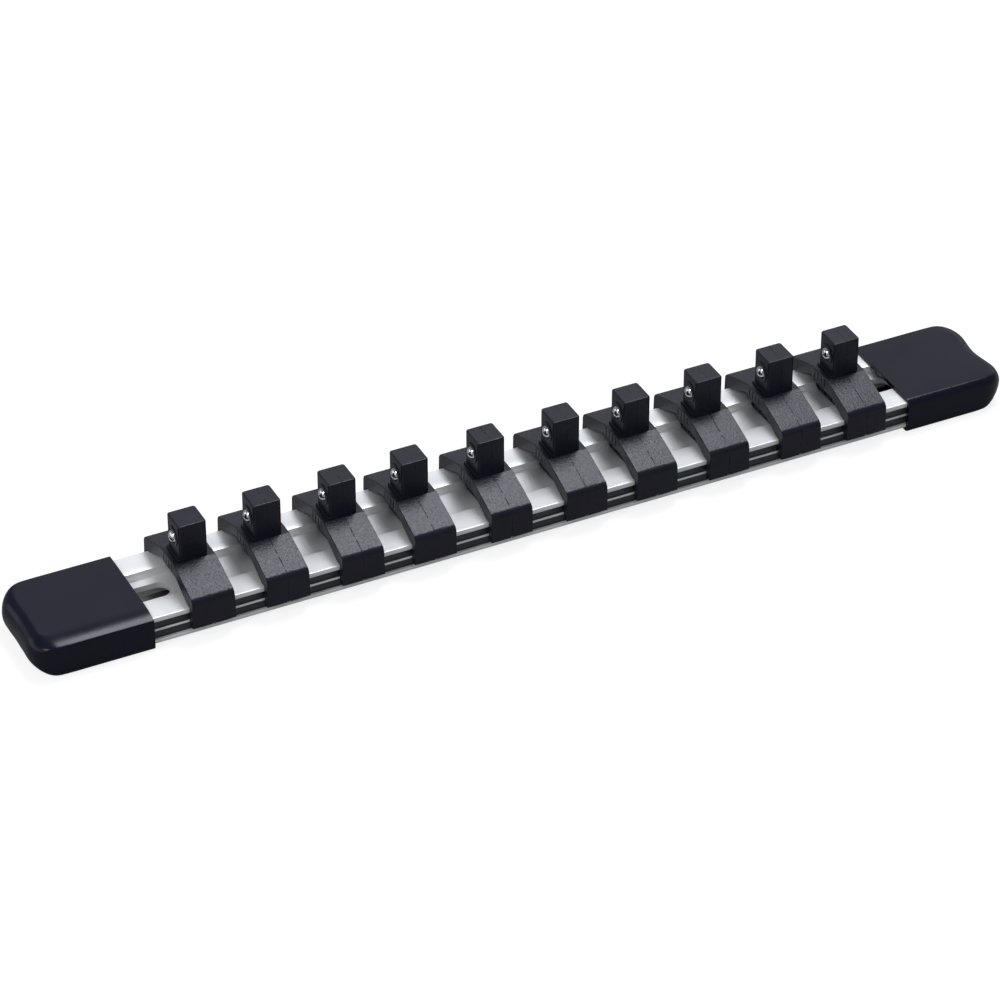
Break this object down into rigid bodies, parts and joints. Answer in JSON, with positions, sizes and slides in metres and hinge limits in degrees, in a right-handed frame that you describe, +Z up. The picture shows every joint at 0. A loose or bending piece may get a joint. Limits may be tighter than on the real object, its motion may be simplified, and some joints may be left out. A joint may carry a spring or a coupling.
{
  "type": "socket holder rail",
  "caption": "Aluminium rail with sliding moulded clips, each with a sprung square post that holds a drive socket, closed by dipped vinyl end caps.",
  "frame": {"origin": "midway along the rail and across it, on the surface that the end caps rest on", "axes": "+X along the rail towards the cap nearer the last clip, +Y across the rail, +Z up along the posts"},
  "size_m": [0.3416, 0.0388, 0.0327],
  "materials": {
    "rail": "extruded, mill finish",
    "caps": "dipped vinyl, glossy",
    "clips": "moulded, finely textured",
    "balls": "polished steel",
    "springs": "drawn spring wire"
  },
  "bodies": {
    "rail": {"rail": "rail"},
    "cap_left": {"cap_left": "caps"},
    "cap_right": {"cap_right": "caps"},
    "clip_01": {"clip_01": "clips", "spring_01": "springs"},
    "ball_01": {"ball_01": "balls"},
    "clip_02": {"clip_02": "clips", "spring_02": "springs"},
    "ball_02": {"ball_02": "balls"},
    "clip_03": {"clip_03": "clips", "spring_03": "springs"},
    "ball_03": {"ball_03": "balls"},
    "clip_04": {"clip_04": "clips", "spring_04": "springs"},
    "ball_04": {"ball_04": "balls"},
    "clip_05": {"clip_05": "clips", "spring_05": "springs"},
    "ball_05": {"ball_05": "balls"},
    "clip_06": {"clip_06": "clips", "spring_06": "springs"},
    "ball_06": {"ball_06": "balls"},
    "clip_07": {"clip_07": "clips", "spring_07": "springs"},
    "ball_07": {"ball_07": "balls"},
    "clip_08": {"clip_08": "clips", "spring_08": "springs"},
    "ball_08": {"ball_08": "balls"},
    "clip_09": {"clip_09": "clips", "spring_09": "springs"},
    "ball_09": {"ball_09": "balls"},
    "clip_10": {"clip_10": "clips", "spring_10": "springs"},
    "ball_10": {"ball_10": "balls"}
  },
  "joints": [
    {"name": "cap_left_pull", "type": "slide", "parent": "rail", "child": "cap_left", "axis": [-1, 0, 0], "range_m": [0, 0.033]},
    {"name": "cap_right_pull", "type": "slide", "parent": "rail", "child": "cap_right", "axis": [1, 0, 0], "range_m": [0, 0.033]},
    {"name": "clip_01_slide", "type": "slide", "parent": "rail", "child": "clip_01", "axis": [1, 0, 0], "range_m": [-0.0084, 0.0084]},
    {"name": "ball_01_press", "type": "slide", "parent": "clip_01", "child": "ball_01", "axis": [1, 0, 0], "range_m": [0, 0.0011], "stiffness_N_per_m": 3000, "springref_m": -0.0008, "deforming": ["spring_01"]},
    {"name": "clip_02_slide", "type": "slide", "parent": "rail", "child": "clip_02", "axis": [1, 0, 0], "range_m": [-0.0084, 0.0084]},
    {"name": "ball_02_press", "type": "slide", "parent": "clip_02", "child": "ball_02", "axis": [1, 0, 0], "range_m": [0, 0.0011], "stiffness_N_per_m": 3000, "springref_m": -0.0008, "deforming": ["spring_02"]},
    {"name": "clip_03_slide", "type": "slide", "parent": "rail", "child": "clip_03", "axis": [1, 0, 0], "range_m": [-0.0084, 0.0084]},
    {"name": "ball_03_press", "type": "slide", "parent": "clip_03", "child": "ball_03", "axis": [1, 0, 0], "range_m": [0, 0.0011], "stiffness_N_per_m": 3000, "springref_m": -0.0008, "deforming": ["spring_03"]},
    {"name": "clip_04_slide", "type": "slide", "parent": "rail", "child": "clip_04", "axis": [1, 0, 0], "range_m": [-0.0084, 0.0084]},
    {"name": "ball_04_press", "type": "slide", "parent": "clip_04", "child": "ball_04", "axis": [1, 0, 0], "range_m": [0, 0.0011], "stiffness_N_per_m": 3000, "springref_m": -0.0008, "deforming": ["spring_04"]},
    {"name": "clip_05_slide", "type": "slide", "parent": "rail", "child": "clip_05", "axis": [1, 0, 0], "range_m": [-0.0084, 0.0084]},
    {"name": "ball_05_press", "type": "slide", "parent": "clip_05", "child": "ball_05", "axis": [1, 0, 0], "range_m": [0, 0.0011], "stiffness_N_per_m": 3000, "springref_m": -0.0008, "deforming": ["spring_05"]},
    {"name": "clip_06_slide", "type": "slide", "parent": "rail", "child": "clip_06", "axis": [1, 0, 0], "range_m": [-0.0084, 0.0084]},
    {"name": "ball_06_press", "type": "slide", "parent": "clip_06", "child": "ball_06", "axis": [1, 0, 0], "range_m": [0, 0.0011], "stiffness_N_per_m": 3000, "springref_m": -0.0008, "deforming": ["spring_06"]},
    {"name": "clip_07_slide", "type": "slide", "parent": "rail", "child": "clip_07", "axis": [1, 0, 0], "range_m": [-0.0084, 0.0084]},
    {"name": "ball_07_press", "type": "slide", "parent": "clip_07", "child": "ball_07", "axis": [1, 0, 0], "range_m": [0, 0.0011], "stiffness_N_per_m": 3000, "springref_m": -0.0008, "deforming": ["spring_07"]},
    {"name": "clip_08_slide", "type": "slide", "parent": "rail", "child": "clip_08", "axis": [1, 0, 0], "range_m": [-0.0084, 0.0084]},
    {"name": "ball_08_press", "type": "slide", "parent": "clip_08", "child": "ball_08", "axis": [1, 0, 0], "range_m": [0, 0.0011], "stiffness_N_per_m": 3000, "springref_m": -0.0008, "deforming": ["spring_08"]},
    {"name": "clip_09_slide", "type": "slide", "parent": "rail", "child": "clip_09", "axis": [1, 0, 0], "range_m": [-0.0084, 0.0084]},
    {"name": "ball_09_press", "type": "slide", "parent": "clip_09", "child": "ball_09", "axis": [1, 0, 0], "range_m": [0, 0.0011], "stiffness_N_per_m": 3000, "springref_m": -0.0008, "deforming": ["spring_09"]},
    {"name": "clip_10_slide", "type": "slide", "parent": "rail", "child": "clip_10", "axis": [1, 0, 0], "range_m": [-0.0084, 0.0084]},
    {"name": "ball_10_press", "type": "slide", "parent": "clip_10", "child": "ball_10", "axis": [1, 0, 0], "range_m": [0, 0.0011], "stiffness_N_per_m": 3000, "springref_m": -0.0008, "deforming": ["spring_10"]}
  ]
}
